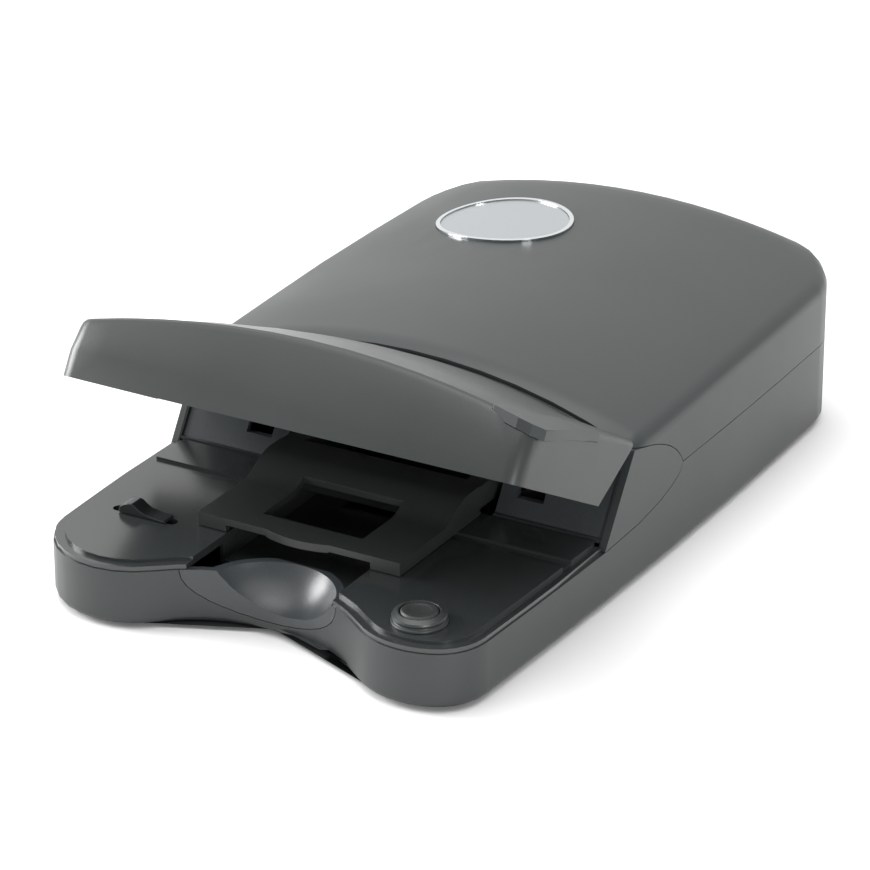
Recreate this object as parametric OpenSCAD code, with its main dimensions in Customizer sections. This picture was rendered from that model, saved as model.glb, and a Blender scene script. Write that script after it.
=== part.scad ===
// Desktop film negative scanner with a clamshell lid, drawn with the lid open.
// Millimetres, +Z up, front towards -Y. The origin is the middle of the footprint,
// on the surface that the scanner stands on. Inside the modules y runs from the
// front of the case, and from_front() moves each piece into place.

/* [Case] */
// Overall length of the case, front to back
body_len = 286; // [276:1:298]
// Half of the case's greatest width
body_half_w = 85; // [84:0.5:88]
// Radius of the slightly bowed sides, seen from above
side_radius = 2900; // [2500:10:4000]
// Distance from the front to the widest place
widest_y = 160; // [150:1:170]
// Wall thickness of the base and the cover
wall = 2.4; // [1.8:0.1:3]
// Height of the crown of the top cover
crown_z = 68.2; // [67:0.2:72]
// Radius of the crown across the case, at the front of the cover
crown_radius = 221; // [210:1:240]
// Radius of the crown across the case, at the rear
rear_crown_radius = 270; // [240:2:330]
// Radius of the shoulder between the side and the crown
shoulder_r = 6.5; // [5:0.5:9]
// Rounding of the bottom edge
bottom_round = 2.5; // [2:0.5:5]
// Height of the rubber feet
foot_h = 1.5; // [1:0.1:3]
// Radius of the rear corners, seen from above
rear_corner_r = 25; // [22:1:32]
// Radius of the bowed rear edge
rear_radius = 364; // [320:4:600]
// Height of the joint between base and cover, behind the hinge
rear_seam_z = 31.8; // [30:0.1:33]
// Height of the base wall under the deck
front_seam_z = 20.6; // [20.2:0.1:21.2]

/* [Front lobes] */
// Distance of each lobe's centre from the middle
lobe_x = 57; // [56:0.5:58]
// Radius of the lobes
lobe_r = 28; // [27.5:0.5:31]
// Distance by which both lobes sit further to the right
front_shift = 2.6; // [0:0.2:2.6]
// Depth of the notch between the lobes
notch_depth = 21.5; // [20:0.5:23]
// Radius of the outer front corners
front_corner_r = 18; // [16:0.5:18]
// Radius of the finger dish
dish_r = 26; // [24:0.5:27]
// Half of the width of the scoop panel
scoop_half_w = 29; // [27:0.5:30]

/* [Deck] */
// Height of the deck's surface
deck_z = 23.4; // [23:0.1:24]
// Width of the lower step along the deck's edge
deck_rim = 3.4; // [2:0.2:4]
// Half of the width of the film channel in the deck
channel_half_w = 27; // [25:0.5:28]
// Height of the channel's floor
channel_z = 14.5; // [13:0.5:16]
// Rear end of the channel in the deck
channel_back = 84; // [80:1:86]
// Distance from the front to the rear line of the cross groove
groove_y = 76.4; // [75:0.2:78]
// Width of the cross groove
groove_w = 5.6; // [4:0.2:6]

/* [Lid] */
// Half of the lid's width
lid_half_w = 85.6; // [85:0.1:86.4]
// Distance from the front of the case to the closed lid's front
lid_front = 25; // [24.9:0.1:28]
// Height of the closed lid's lower edge
lid_bottom_z = 23.8; // [23.7:0.1:24.5]
// Height of the lid's front crease at the middle
crease_z = 53.3; // [51:0.1:55]
// Radius of the crease across the lid
crease_radius = 357; // [320:1:420]
// Set-back of the crease from the lower edge
crease_back = 4; // [3:0.2:6]
// Corner radius of the lid, seen from above
lid_corner_r = 6; // [5:0.5:10]
// Wall thickness of the lid
lid_wall = 2.2; // [1.8:0.1:2.6]
// Angle by which the lid stands open
lid_open = 28.5; // [0:0.5:28.5]

/* [Hinge] */
// Distance from the front to the hinge axis
hinge_y = 119.3; // [118:0.1:121]
// Height of the hinge axis
hinge_z = 39.4; // [38:0.1:41]
// Radius of the hinge pins
pin_r = 2; // [1.5:0.1:2.5]
// Distance from the front to the front edge of the top cover
cover_front = 111; // [110:0.1:112]
// Outer radius of the fixed drum beside the lid's barrel
drum_r = 14.5; // [13:0.1:14.8]
// Thickness of the cover's lip over the barrel
lip_t = 1; // [0.8:0.1:1.4]
// Distance from the front to the foot of the cheeks
cheek_front = 91.5; // [90:0.5:93]
// Height of the top of the cheeks' front edge
cheek_top_z = 49.6; // [48.5:0.1:50]
// Distance from the front to the tail of the cheeks
cheek_tail = 145.3; // [143:0.1:150]

/* [Film carriage] */
// Half of the carriage's width
carriage_half_w = 38.3; // [37:0.1:39.4]
// Distance from the front to the carriage's front edge
carriage_front = 38.4; // [37:0.2:40]
// Height of the carriage's flat top
carriage_z = 28.4; // [28:0.1:29]
// Thickness of the carriage's plate
carriage_t = 2.4; // [2:0.1:2.8]
// Width of the picture window
window_w = 38; // [36:0.5:39]
// Length of the picture window
window_l = 25.7; // [24:0.1:27]
// Travel of the carriage into the case
carriage_travel = 70; // [50:1:70]
// Distance of the guide rods from the middle
rod_x = 44; // [43.5:0.1:46]
// Radius of the guide rods
rod_r = 3; // [2.5:0.1:3.5]
// Distance of the lead screw from the middle
screw_x = 56; // [55.5:0.5:58]
// Radius of the lead screw
screw_r = 2.5; // [2:0.1:3]
// Lead of the screw, its advance in one turn
screw_lead = 8; // [4:1:8]

/* [Controls] */
// Radius of the scan button
button_r = 6.1; // [5.5:0.1:6.3]
// Outer radius of the button's ring
ring_r = 9.1; // [8.6:0.1:9.2]
// Distance from the front to the button's centre
button_y = 15.4; // [14.6:0.1:15.5]
// Distance from the front to the lever's slot
lever_y = 36.5; // [35.5:0.5:38]
// Length of the lever's slot
slot_len = 25; // [24:0.5:26]

/* [Fits] */
// Radial clearance of pins, rods and screws that turn or slide
running = 0.05; // [0.03:0.01:0.08]
// Gap between moulded pieces that lie side by side
seam_gap = 0.25; // [0.2:0.05:0.4]
// Gap between pieces that move past each other
moving_gap = 0.35; // [0.3:0.05:0.5]

/* [Hidden] */
$fn = 48;

charcoal = "#4a4f4f";
deck_black = "#26282a";
satin = "#6b7072";

module from_front() {
    translate([0, -body_len / 2, 0]) children();
}

module both_sides() {
    children();
    mirror([1, 0, 0]) children();
}

// ---- Plan outline of the case: lobes, corners, bowed sides and rear ----

function arc(c, r, a0, a1, n) =
    [for (i = [0:n]) c + r * [cos(a0 + (a1 - a0) * i / n), sin(a0 + (a1 - a0) * i / n)]];
function half_w(y) = body_half_w - pow(y - widest_y, 2) / (2 * side_radius);

// Centres and angles of one side's arcs; side is 1 on the right and -1 on the left
function lobe_c(side) = [lobe_x + side * front_shift, lobe_r];
function notch_r(side) = (pow(lobe_c(side).x, 2) + pow(lobe_r - notch_depth, 2) - lobe_r * lobe_r) / (2 * notch_depth);
function notch_c(side) = [0, notch_depth - notch_r(side)];
function notch_angle(side) = atan2(lobe_r - notch_c(side).y, lobe_c(side).x);
front_x = half_w(front_corner_r) - front_corner_r;
function front_c(side) =
    [front_x, lobe_r - sqrt(max(0, pow(lobe_r - front_corner_r, 2) - pow(front_x - lobe_c(side).x, 2)))];
function front_angle(side) = 360 - atan2(lobe_r - front_c(side).y, front_x - lobe_c(side).x);
rear_x = half_w(body_len - rear_corner_r) - rear_corner_r;
rear_arc_y = body_len - rear_radius;
rear_c = [rear_x, rear_arc_y + sqrt(pow(rear_radius - rear_corner_r, 2) - rear_x * rear_x)];
rear_angle = atan2(rear_c.y - rear_arc_y, rear_c.x);
// The base's upper edge climbs from the deck's height to the rear joint here
climb_start = cheek_front + 1.2;
climb_end = cheek_tail;
climb_ys = [for (a = [0, 25, 45, 60, 70, 78, 84, 90]) climb_start + (climb_end - climb_start) * sin(a)];
function side_ys(side) = concat([for (i = [0:2]) front_c(side).y + (climb_start - front_c(side).y) * i / 3],
    climb_ys, [for (i = [1:3]) climb_end + (rear_c.y - climb_end) * i / 3]);

// One half of the outline, drawn inwards by d, from the notch to the middle of the rear
function half_outline(d, side) = concat(
    arc(notch_c(side), notch_r(side) + d, 90, notch_angle(side), 5),
    arc(lobe_c(side), lobe_r - d, 180 + notch_angle(side), front_angle(side), 8),
    arc(front_c(side), front_corner_r - d, front_angle(side), 356, 5),
    [for (y = side_ys(side)) [half_w(y) - d, y]],
    arc(rear_c, rear_corner_r - d, 4, rear_angle, 6),
    arc([0, rear_arc_y], rear_radius - d, rear_angle, 90, 3));
function outline(d) = let (right = half_outline(d, 1), left = half_outline(d, -1), n = len(right))
    concat(right, [for (i = [n - 2:-1:1]) [-left[i].x, left[i].y]]);

// Climb of the seam, from 0 to 1, along a quarter of an ellipse
function climb(y) = let (s = max(0, min(1, (y - climb_start) / (climb_end - climb_start)))) 1 - sqrt(1 - s * s);
function seam_z(y) = front_seam_z + (rear_seam_z - front_seam_z) * climb(y);
function ring_at(d, z) = [for (p = outline(d)) [p.x, p.y, z]];
function seam_ring(d) = [for (p = outline(d)) [p.x, p.y, seam_z(p.y)]];

// Closed skin over rings of points, each with as many points as the first
module skin(rings) {
    n = len(rings[0]);
    m = len(rings);
    quads = [for (k = [0:m - 2], i = [0:n - 1]) let (j = (i + 1) % n)
        [k * n + i, (k + 1) * n + i, (k + 1) * n + j, k * n + j]];
    sides = [for (q = quads) each [[q[0], q[1], q[2]], [q[0], q[2], q[3]]]];
    polyhedron([for (r = rings) each r],
        concat([[for (i = [0:n - 1]) i]], sides, [[for (i = [n - 1:-1:0]) (m - 1) * n + i]]));
}

// Extrudes a profile drawn in the (y, z) plane from x0 to x1
module across(x0, x1) {
    translate([x0, 0, 0]) rotate([90, 0, 90]) linear_extrude(x1 - x0) children();
}

// Extrudes a profile drawn in the (x, z) plane from y0 to y1
module along(y0, y1) {
    translate([0, y1, 0]) rotate([90, 0, 0]) linear_extrude(y1 - y0) children();
}

module plan_ring(d0, d1, z0, z1) {
    translate([0, 0, z0]) linear_extrude(z1 - z0) difference() {
        polygon(outline(d0));
        polygon(outline(d1));
    }
}

module tube(r0, r1, h) {
    difference() {
        cylinder(r = r0, h = h);
        translate([0, 0, -1]) cylinder(r = r1, h = h + 2);
    }
}

// ---- Places of the fixing screws and feet ----

floor_t = 2.4;
floor_z = foot_h + floor_t;
inner_round = 2;
foot_r = 6.5;
foot_places = [for (x = [-58, 58], y = [30, body_len - 30]) [x, y]];
deck_screws = [[-66, 62], [66, 62]];
cover_screws = [for (x = [-70, 70], y = [cheek_tail + 16, body_len - 58]) [x, y]];
screw_hole_r = 1.7;
screw_head_r = 3.1;
screw_shank_r = 1.5;
screw_head_h = 2.2;
boss_r = 4.5;
boss_top_z = 15;

// ---- Base and the pieces that sit in it ----

scoop_z = front_seam_z;
scoop_depth = scoop_z - floor_z - 1;
dish_c = [4, 12, scoop_z + 12.4];

// Half ellipse, open upwards, that bounds the scoop panel in the front view
module scoop_shape(d) {
    a = scoop_half_w - d;
    b = scoop_depth - d;
    polygon(concat([for (i = [0:16]) [-a * cos(180 * i / 16), scoop_z - b * sin(180 * i / 16)]],
        [[a, scoop_z + 12], [-a, scoop_z + 12]]));
}

usb_x = -16;
jack_x = 8;
rocker_x = 30;
rear_part_z = 15;
rocker_w = 15;
rocker_h = 11;
bezel_y = body_len - 1.7;

module base_case() {
    steps = [0, 22.5, 45, 67.5, 90];
    color(charcoal) from_front() difference() {
        union() {
            skin(concat(
                [for (a = steps) ring_at(bottom_round * (1 - sin(a)),
                    foot_h + bottom_round * (1 - cos(a)))],
                [seam_ring(0), seam_ring(wall), ring_at(wall, floor_z + inner_round),
                    ring_at(wall + inner_round, floor_z)]));
            for (p = concat(deck_screws, cover_screws))
                translate([p.x, p.y, floor_z - 0.1]) cylinder(r = boss_r, h = boss_top_z - floor_z + 0.1);
            for (p = chassis_feet)
                translate([p.x, p.y, floor_z - 0.1]) cylinder(r = 3.5, h = chassis_z - floor_z + 0.1);
        }
        along(-1, 40) scoop_shape(0);
        for (p = concat(deck_screws, cover_screws)) translate([p.x, p.y, 0]) {
            cylinder(r = screw_hole_r, h = boss_top_z + 1);
            translate([0, 0, -1]) cylinder(r = screw_head_r + 0.2, h = floor_z + screw_head_h);
        }
        for (p = chassis_feet) translate([p.x, p.y, floor_z - 1.2]) cylinder(r = 1.27, h = 10);
        along(body_len - 12, body_len + 5) {
            translate([usb_x - 6.6, rear_part_z - 6.1]) square([13.2, 12.2]);
            translate([jack_x - 5.6, rear_part_z - 6.1]) square([11.2, 12.2]);
            translate([rocker_x - rocker_w / 2, rear_part_z - rocker_h / 2]) square([rocker_w, rocker_h]);
        }
        along(bezel_y, body_len + 5) translate([rocker_x - rocker_w / 2 - 1.2, rear_part_z - rocker_h / 2 - 1.2])
            square([rocker_w + 2.4, rocker_h + 2.4]);
    }
}

module finger_scoop() {
    back = notch_depth + 14;
    color(satin) from_front() difference() {
        intersection() {
            union() {
                intersection() {
                    translate([0, 0, 3]) linear_extrude(scoop_z - 3) difference() {
                        polygon(outline(0));
                        translate([-50, back]) square([100, body_len]);
                    }
                    translate(dish_c) sphere(r = dish_r + 2.4, $fn = 64);
                }
                plan_ring(0, wall, 3, scoop_z);
            }
            along(-1, 44) scoop_shape(seam_gap);
        }
        translate(dish_c) sphere(r = dish_r, $fn = 64);
    }
}

ledge_y = 44;
deck_t = deck_z - front_seam_z;
deck_lower_z = deck_z - 1.1;
film_slot_back = channel_back;

module deck_plan(d) {
    difference() {
        polygon(outline(d));
        translate([-100, cheek_front + 1.2]) square([200, body_len]);
        translate([-channel_half_w, -10]) square([2 * channel_half_w, film_slot_back + 10]);
        // the cheeks stand beside the deck's rear corners
        both_sides() translate([body_half_w - wall - 3, cheek_front - seam_gap]) square([20, 20]);
        // the lid's side walls come down outside this step
        for (s = [-1, 1]) translate([s * (lid_half_w + 12.4 - lid_wall), ledge_y + 60])
            square([26, 120], center = true);
    }
}

module front_deck() {
    slot_w = 4;
    color(deck_black) from_front() difference() {
        union() {
            translate([0, 0, front_seam_z]) linear_extrude(deck_lower_z - front_seam_z) deck_plan(0.5);
            translate([0, 0, deck_lower_z - 0.1]) linear_extrude(deck_z - deck_lower_z + 0.1)
                deck_plan(deck_rim + 0.5);
            for (p = deck_screws) translate([p.x, p.y, boss_top_z + 0.2])
                cylinder(r = boss_r, h = deck_z - 1 - boss_top_z);
        }
        translate([-100, groove_y - groove_w, deck_z - 1]) cube([200, groove_w, 5]);
        // countersunk seat and shaft of the round button
        translate([lobe_x + 2, button_y, 0]) cylinder(r = button_r + moving_gap, h = 40);
        // slot of the lever
        translate([-57.5, lever_y, 0]) linear_extrude(40) {
            square([slot_len - slot_w, slot_w], center = true);
            for (s = [-1, 1]) translate([s * (slot_len - slot_w) / 2, 0]) circle(r = slot_w / 2);
        }
        for (p = deck_screws) translate([p.x, p.y, 0]) cylinder(r = screw_shank_r + 0.02, h = deck_z - 2);
    }
}

module film_tray() {
    w = channel_half_w + 1.6;
    y0 = notch_depth + 15;
    y1 = cover_front + 1;
    color(deck_black) from_front() difference() {
        union() {
            translate([-w, y0, channel_z - 1.6]) cube([2 * w, y1 - y0, 1.6]);
            for (s = [-1, 1]) translate([s * (w - 0.8) - 0.8, y0, channel_z - 0.1])
                cube([1.6, y1 - y0, front_seam_z - channel_z + 0.1]);
        }
        translate([0, y1 - 14, channel_z - 5]) linear_extrude(10) square([30, 16], center = true);
    }
}

// ---- Cheeks, inner wall and hinge ----

tail_z = rear_seam_z;
function bezier(a, b, c, n) = [for (i = [0:n]) let (t = i / n)
    (1 - t) * (1 - t) * a + 2 * t * (1 - t) * b + t * t * c];
rim_top = [cover_front - 0.6, cheek_top_z];
cheek_foot = [cheek_front, front_seam_z];
function cheek_top(d) = bezier(rim_top + [0, d], [cheek_tail - 7, cheek_top_z - 5 + d],
    [cheek_tail + d, tail_z + seam_gap + d], 12);

// Leaf shape of a cheek in the side view, larger by d on its upper edge
module cheek_shape(d) {
    polygon(concat(cheek_top(d),
        [for (i = [len(climb_ys) - 2:-1:0]) let (y = climb_ys[i]) [y, seam_z(y) + seam_gap]],
        [[cheek_foot.x, seam_z(cheek_foot.x) + seam_gap]]));
}

boss_hinge_r = pin_r + 3.2;
web_x = [72.2, 77.9];
web_t = 2;

module cheek() {
    intersection() {
        across(60, 100) cheek_shape(0);
        plan_ring(0, wall, 0, 80);
    }
    // return edge along the slanted rim
    across(body_half_w - wall - 1.2, body_half_w - wall + 0.4) polygon([cheek_foot + [0.3, seam_gap],
        cheek_foot + [3.4, seam_gap], rim_top + [3.0, -0.6], rim_top + [0, -0.3]]);
}

module left_cheek() {
    color(charcoal) from_front() mirror([1, 0, 0]) cheek();
}

module right_cheek() {
    color(charcoal) from_front() cheek();
}

function polar(r, a) = [hinge_y + r * sin(a), hinge_z + r * cos(a)];
drum_from = -62;
drum_to = -39;

// Fixed drum and webs that carry one hinge pin
module hinge_web() {
    drum = concat([for (i = [0:6]) polar(drum_r, drum_from + (drum_to - drum_from) * i / 6)],
        [for (i = [6:-1:0]) polar(drum_r - 2, drum_from + (drum_to - drum_from) * i / 6)]);
    across(web_x[0], body_half_w - wall - 1.4) polygon(drum);
    difference() {
        for (x = web_x) {
            across(x, x + web_t) {
                polygon([polar(drum_r - 1, drum_from), polar(drum_r - 1, drum_to), [hinge_y + 3, hinge_z],
                    [hinge_y, hinge_z - 3], wall_at(hinge_z - 6), wall_at(44)]);
                translate([hinge_y, hinge_z]) circle(r = boss_hinge_r);
            }
        }
        translate([0, hinge_y, hinge_z]) rotate([0, 90, 0]) cylinder(r = pin_r + running / 2, h = 200, center = true);
    }
}

// Point of the slanted inner wall's front face at height z
function wall_at(z) = cheek_foot + (rim_top - cheek_foot) * (z - front_seam_z) / (cheek_top_z - front_seam_z) + [1.4, 0];
mouth_half_w = rod_x - 2.6;
mouth_top_z = 42;
wall_top_z = 46;

module bay_frame() {
    t = 2.2;
    w = body_half_w - wall - 1.4;
    color(satin) from_front() {
        difference() {
            across(-w, w) polygon([wall_at(deck_z + 0.1), wall_at(deck_z + 0.1) + [t, 0],
                wall_at(wall_top_z) + [t, 0], wall_at(wall_top_z)]);
            translate([-mouth_half_w, 80, 0]) cube([2 * mouth_half_w, 60, mouth_top_z]);
            // two latch windows beside the mouth
            for (s = [-1, 1]) translate([s * 52.5 - 5, 80, deck_z + 5.6]) cube([10, 60, 5.4]);
            // room for the lid's arms
            for (s = [-1, 1]) translate([s * (barrel_half_w - 2.1) - 2.7, 80, deck_z + 14]) cube([5.4, 60, 30]);
        }
        both_sides() hinge_web();
        // foot that stands on the deck's rear edge
        for (s = [-1, 1]) translate([s * (w + mouth_half_w) / 2, cheek_front + 4.6, deck_z - 0.9 + 0.6])
            cube([w - mouth_half_w, 5, 1.4], center = true);
    }
}

// ---- Lid ----

// Crown's height at x for a radius r, and its radius at y, which grows to the rear
function arch(x, r) = crown_z - r + sqrt(r * r - x * x);
flat_y = cover_front + 88;
function crown_r(y) = let (t = max(0, min(1, (y - cover_front) / (flat_y - cover_front))))
    1 / ((1 - t) / crown_radius + t / rear_crown_radius);
function crown_at(x, y) = arch(x, crown_r(y));
function crease_at(x) = crease_z - crease_radius + sqrt(crease_radius * crease_radius - x * x);
function barrel_r(x) = arch(x, crown_radius) - lip_t - moving_gap - hinge_z;
barrel_half_w = web_x[0] - 0.6;
barrel_t = 1.8;
barrel_start = -72;
barrel_to = 9;
lid_edge_r = 3;
lid_travel = 28.5;
// Where the lid's top ends at x: with the lid open this line lies along the cover's front
end_x = 64;
function barrel_from(x) = -lid_travel - asin((hinge_y - cover_front + moving_gap) / barrel_r(x));
function lid_end(x) = let (u = min(abs(x), end_x))
    polar(barrel_r(u), barrel_from(u)) - [0, 0.09 * (abs(x) - u)];

// Rear end of the lid's lower edge, and the top of the slanted rear edge of its sides
lid_heel = cheek_front - 4.6;
lid_nape = [lid_heel + 17, 47.5];

// Front face of the lid at x, for a lid drawn inwards by d
function lid_y(x, d) = let (h = lid_half_w - d, r = lid_corner_r - d, u = max(0, abs(x) - (h - r)))
    lid_front + d + r - sqrt(max(0, r * r - u * u));
// How far the top edge is rounded down beside the lid's sides
function side_drop(x, d) = let (r = lid_edge_r, u = max(0, abs(x) - (lid_half_w - d - r)))
    r - sqrt(max(0, r * r - u * u));
// Section of the lid at x, drawn inwards by d, and running on by tail behind
function lid_section(x, d, tail) =
    let (y0 = lid_y(x, d), drop = side_drop(x, d) + d, top = crease_at(x) - drop,
        end = lid_end(x) - [0, drop],
        rise = (end.y - top) / (end.x - y0 - crease_back), foot = lid_bottom_z - (tail > 0 ? 5 : 0),
        edge = 2.5, front = y0 + crease_back)
    [for (p = concat(
        [[y0, foot], [y0 + 0.4, lid_bottom_z + 9], [front - 1.2, top - edge], [front - 0.3, top - 0.8],
            [front + 1, top], [front + 3.5, top + rise * 3.5]],
        [for (i = [1:4]) let (t = i / 5, y = front + (end.x - front) * t)
            [y, top + (end.y - top) * t + 1.6 * sin(180 * t)]],
        [end + [0, 0], end + [tail, rise * tail]],
        [[lid_heel + (tail > 0 ? tail + 12 : 0), foot]])) [x, p.x, p.y]];
lid_xs = concat([0, 14, 28, 42, 54, end_x, 71],
    [for (a = [0, 18, 32, 45, 60, 75, 90]) lid_half_w - lid_corner_r * (1 - sin(a))]);
function mirror_xs(xs) = concat([for (i = [len(xs) - 1:-1:1]) -xs[i]], xs);
module lid_loft(d, tail) {
    xs = mirror_xs([for (x = lid_xs) min(x, x * (lid_half_w - d) / lid_half_w)]);
    skin([for (i = [len(xs) - 1:-1:0]) lid_section(xs[i], d, tail)]);
}

// Swings its children from the closed place about the hinge axis
module opened(a) {
    translate([0, hinge_y, hinge_z]) rotate([-a, 0, 0]) translate([0, -hinge_y, -hinge_z]) children();
}

// Barrel of revolution behind the lid's top, which slides in under the cover
module lid_barrel() {
    n = 8;
    xs = [for (i = [-n:n]) barrel_half_w * i / n];
    translate([0, hinge_y, hinge_z]) rotate([0, 90, 0]) rotate([0, 0, 180 - barrel_to])
        rotate_extrude(angle = barrel_to - barrel_start, $fn = 64)
            polygon(concat([for (x = xs) [barrel_r(x), x]],
                [for (i = [2 * n:-1:0]) [barrel_r(xs[i]) - barrel_t, xs[i]]]));
}

module lid_arm() {
    x0 = barrel_half_w - 4;
    r = barrel_r(x0 + 2) - 0.9;
    difference() {
        across(x0, barrel_half_w - 0.2) {
            translate([hinge_y, hinge_z]) circle(r = boss_hinge_r);
            polygon(concat([[hinge_y, hinge_z]], [for (i = [0:6]) polar(r, 40 * (i / 6 - 1) - 2)]));
        }
        translate([0, hinge_y, hinge_z]) rotate([0, 90, 0]) cylinder(r = pin_r + running, h = 200);
    }
}

module front_lid() {
    color(charcoal) from_front() opened(lid_open) {
        difference() {
            lid_loft(0, 0);
            lid_loft(lid_wall, 9);
            both_sides() across(web_x[0] - 0.2, lid_half_w + 1) polygon([[lid_heel - 2, lid_bottom_z - 2.8],
                lid_nape, lid_nape + 20 * [-sin(lid_travel), cos(lid_travel)], [hinge_y + 10, 80],
                [hinge_y + 10, lid_bottom_z - 2.8]]);
            tab_block(seam_gap / 2, 4);
        }
        lid_barrel();
        both_sides() lid_arm();
    }
}

// Pull lip at the lid's right front corner: a plate, flush with the lid's top, that stands
// out over the rounded corner below it
tab_in = 16;
tab_len = 46;
tab_t = 3.4;
// Plan of the lip from the front crease round the corner to the lid's side
function tab_plan(grow) = let (x = lid_half_w, y = lid_front + crease_back)
    [[x - tab_in - grow, y - 0.6], [x - 6, y - 2 - grow], [x - 1.5 + grow, y - 0.4], [x + 1.6 + grow, y + 4],
        [x + 1.8 + grow, y + 10], [x + 1 + grow, y + 22], [x + 0.1 + grow, y + tab_len + grow],
        [x - 4.5, y + tab_len - 8 + grow], [x - 8 - grow, y + tab_len - 15], [x - 13 - grow, y + 6]];
function lid_top(x, y) = let (front = lid_y(x, 0) + crease_back, end = lid_end(x), t = (y - front) / (end.x - front))
    crease_at(x) + (end.y - crease_at(x)) * t + 1.6 * sin(180 * max(0, min(1, t)));
module tab_block(grow, over = 0.25) {
    plan = tab_plan(grow);
    skin([[for (p = plan) [p.x, p.y, lid_top(p.x, p.y) - tab_t - grow]],
        [for (p = plan) [p.x, p.y, lid_top(p.x, p.y) + over]]]);
}

module lid_tab() {
    color(charcoal) from_front() opened(lid_open) tab_block(0);
}

module hinge_pins() {
    x0 = barrel_half_w - 4.6;
    color("silver") from_front() both_sides() translate([x0, hinge_y, hinge_z]) rotate([0, 90, 0])
        cylinder(r = pin_r, h = web_x[1] + web_t + 0.1 - x0);
}

// ---- Top cover ----

function shoulder_z(hw, r) = crown_z - r + sqrt(pow(r - shoulder_r, 2) - pow(hw - shoulder_r, 2));
rear_edge_r = 11.6;
function cover_half_w(y, d) =
    y <= rear_c.y ? half_w(y) - d :
    y <= rear_c.y + (rear_corner_r - d) * sin(rear_angle) ?
        rear_c.x + sqrt(max(0, pow(rear_corner_r - d, 2) - pow(y - rear_c.y, 2))) :
        sqrt(max(0.01, pow(rear_radius - d, 2) - pow(y - rear_arc_y, 2)));
function rear_drop(y, d) = let (u = max(0, y - (body_len - rear_edge_r)))
    rear_edge_r - d - sqrt(max(0.01, pow(rear_edge_r - d, 2) - min(u * u, pow(rear_edge_r - d, 2))));

// How far the cover curls down in front, round the hinge's axis
function front_drop(x, y) = let (c = arch(x, crown_radius) - hinge_z, u = max(0, hinge_y - y))
    c - sqrt(max(0, c * c - u * u));

// Section of the cover at y, drawn inwards by d, standing on z0
function cover_section(y, d, z0) =
    let (hw = cover_half_w(y, d) + d, big = crown_r(y), r = min(shoulder_r, hw * 0.8) - d,
        zc = shoulder_z(hw, big), xc = hw - r - d,
        a0 = atan2(zc - crown_z + big, hw - shoulder_r),
        side = [for (i = [0:5]) [xc + r * cos(a0 * i / 5), zc + r * sin(a0 * i / 5)]],
        top = [for (i = [1:6]) let (x = (xc + r * cos(a0)) * (1 - i / 6)) [x, crown_at(x, y) - d]],
        curve = [for (p = concat(side, top)) p - [0, rear_drop(y, d) + front_drop(p.x, y)]],
        half = concat([[hw - d, z0]], curve), n = len(half))
    [for (p = concat(half, [for (i = [n - 2:-1:0]) [-half[i].x, half[i].y]])) [p.x, y, p.y]];

function cover_ys(d) = let (y1 = rear_c.y, y2 = body_len - d, yk = rear_c.y + (rear_corner_r - d) * sin(rear_angle))
    concat([for (i = [0:2]) cover_front + (hinge_y - cover_front) * i / 3],
        [for (i = [0:4]) hinge_y + (y1 - hinge_y) * i / 4],
        [for (a = [15, 30, 45, 58, 70]) y1 + (yk - y1) * sin(a)],
        [yk, yk + (y2 - yk) * 0.45, yk + (y2 - yk) * 0.8, y2 - 0.05]);

module cover_loft(d, z0, front) {
    ys = concat(front > 0 ? [cover_front - front] : [], cover_ys(d));
    skin([for (i = [len(ys) - 1:-1:0]) cover_section(ys[i], d, z0)]);
}

badge_c = [-31, 231];
badge_a = 27;
badge_b = 22.5;
badge_turn = 165;
badge_seat = 1.2;
lip_back = hinge_y + 11.5;
function ellipse(a, b) = [for (i = [0:47]) [a * cos(7.5 * i), b * sin(7.5 * i)]];

module top_cover() {
    color(charcoal) from_front() difference() {
        union() {
            difference() {
                cover_loft(0, rear_seam_z + seam_gap, 0);
                cover_loft(wall, rear_seam_z - 5, 5);
                // the lip over the lid's barrel is thinner
                intersection() {
                    cover_loft(lip_t, hinge_z, 5);
                    translate([-barrel_half_w - 1, cover_front - 10, hinge_z]) cube([2 * barrel_half_w + 2,
                        lip_back - cover_front + 10, 50]);
                }
            }
            for (p = cover_screws) translate([p.x, p.y, boss_top_z + 0.2])
                cylinder(r = boss_r, h = crown_at(abs(p.x) + boss_r, p.y) - boss_top_z - 0.5);
        }
        both_sides() across(60, 100) cheek_shape(seam_gap);
        both_sides() across(60, 100) polygon([rim_top + [-2, 0], rim_top + [0.7, seam_gap],
            [cheek_tail, rear_seam_z], [cheek_front, 20]]);
        for (p = cover_screws) translate([p.x, p.y, 0]) cylinder(r = screw_shank_r + 0.02, h = boss_top_z + 16);
        intersection() {
            badge_column(-0.1);
            crown_layer(badge_seat, 2);
        }
    }
}

// Layer of the crowned top behind flat_y, from d0 below to d1 above the cover's surface
module crown_layer(d0, d1) {
    r = rear_crown_radius;
    translate([0, body_len, crown_z - r]) rotate([90, 0, 0]) tube(r + d1, r - d0, body_len - flat_y, $fn = 200);
}

// Upright elliptic column over the badge's place, drawn inwards by d
module badge_column(d) {
    translate([badge_c.x, badge_c.y, crown_z - 20]) linear_extrude(30) rotate(badge_turn)
        polygon(ellipse(badge_a - d, badge_b - d));
}

module badge_rim() {
    color("silver") from_front() intersection() {
        difference() {
            badge_column(0);
            translate([0, 0, -1]) scale([1, 1, 1.1]) badge_column(1.6);
        }
        crown_layer(badge_seat, 0.8);
    }
}

module badge_plate() {
    color("#c9cccd") from_front() intersection() {
        badge_column(1.7);
        crown_layer(badge_seat, 0.3);
    }
}

// ---- Film carriage and its drive ----

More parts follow.
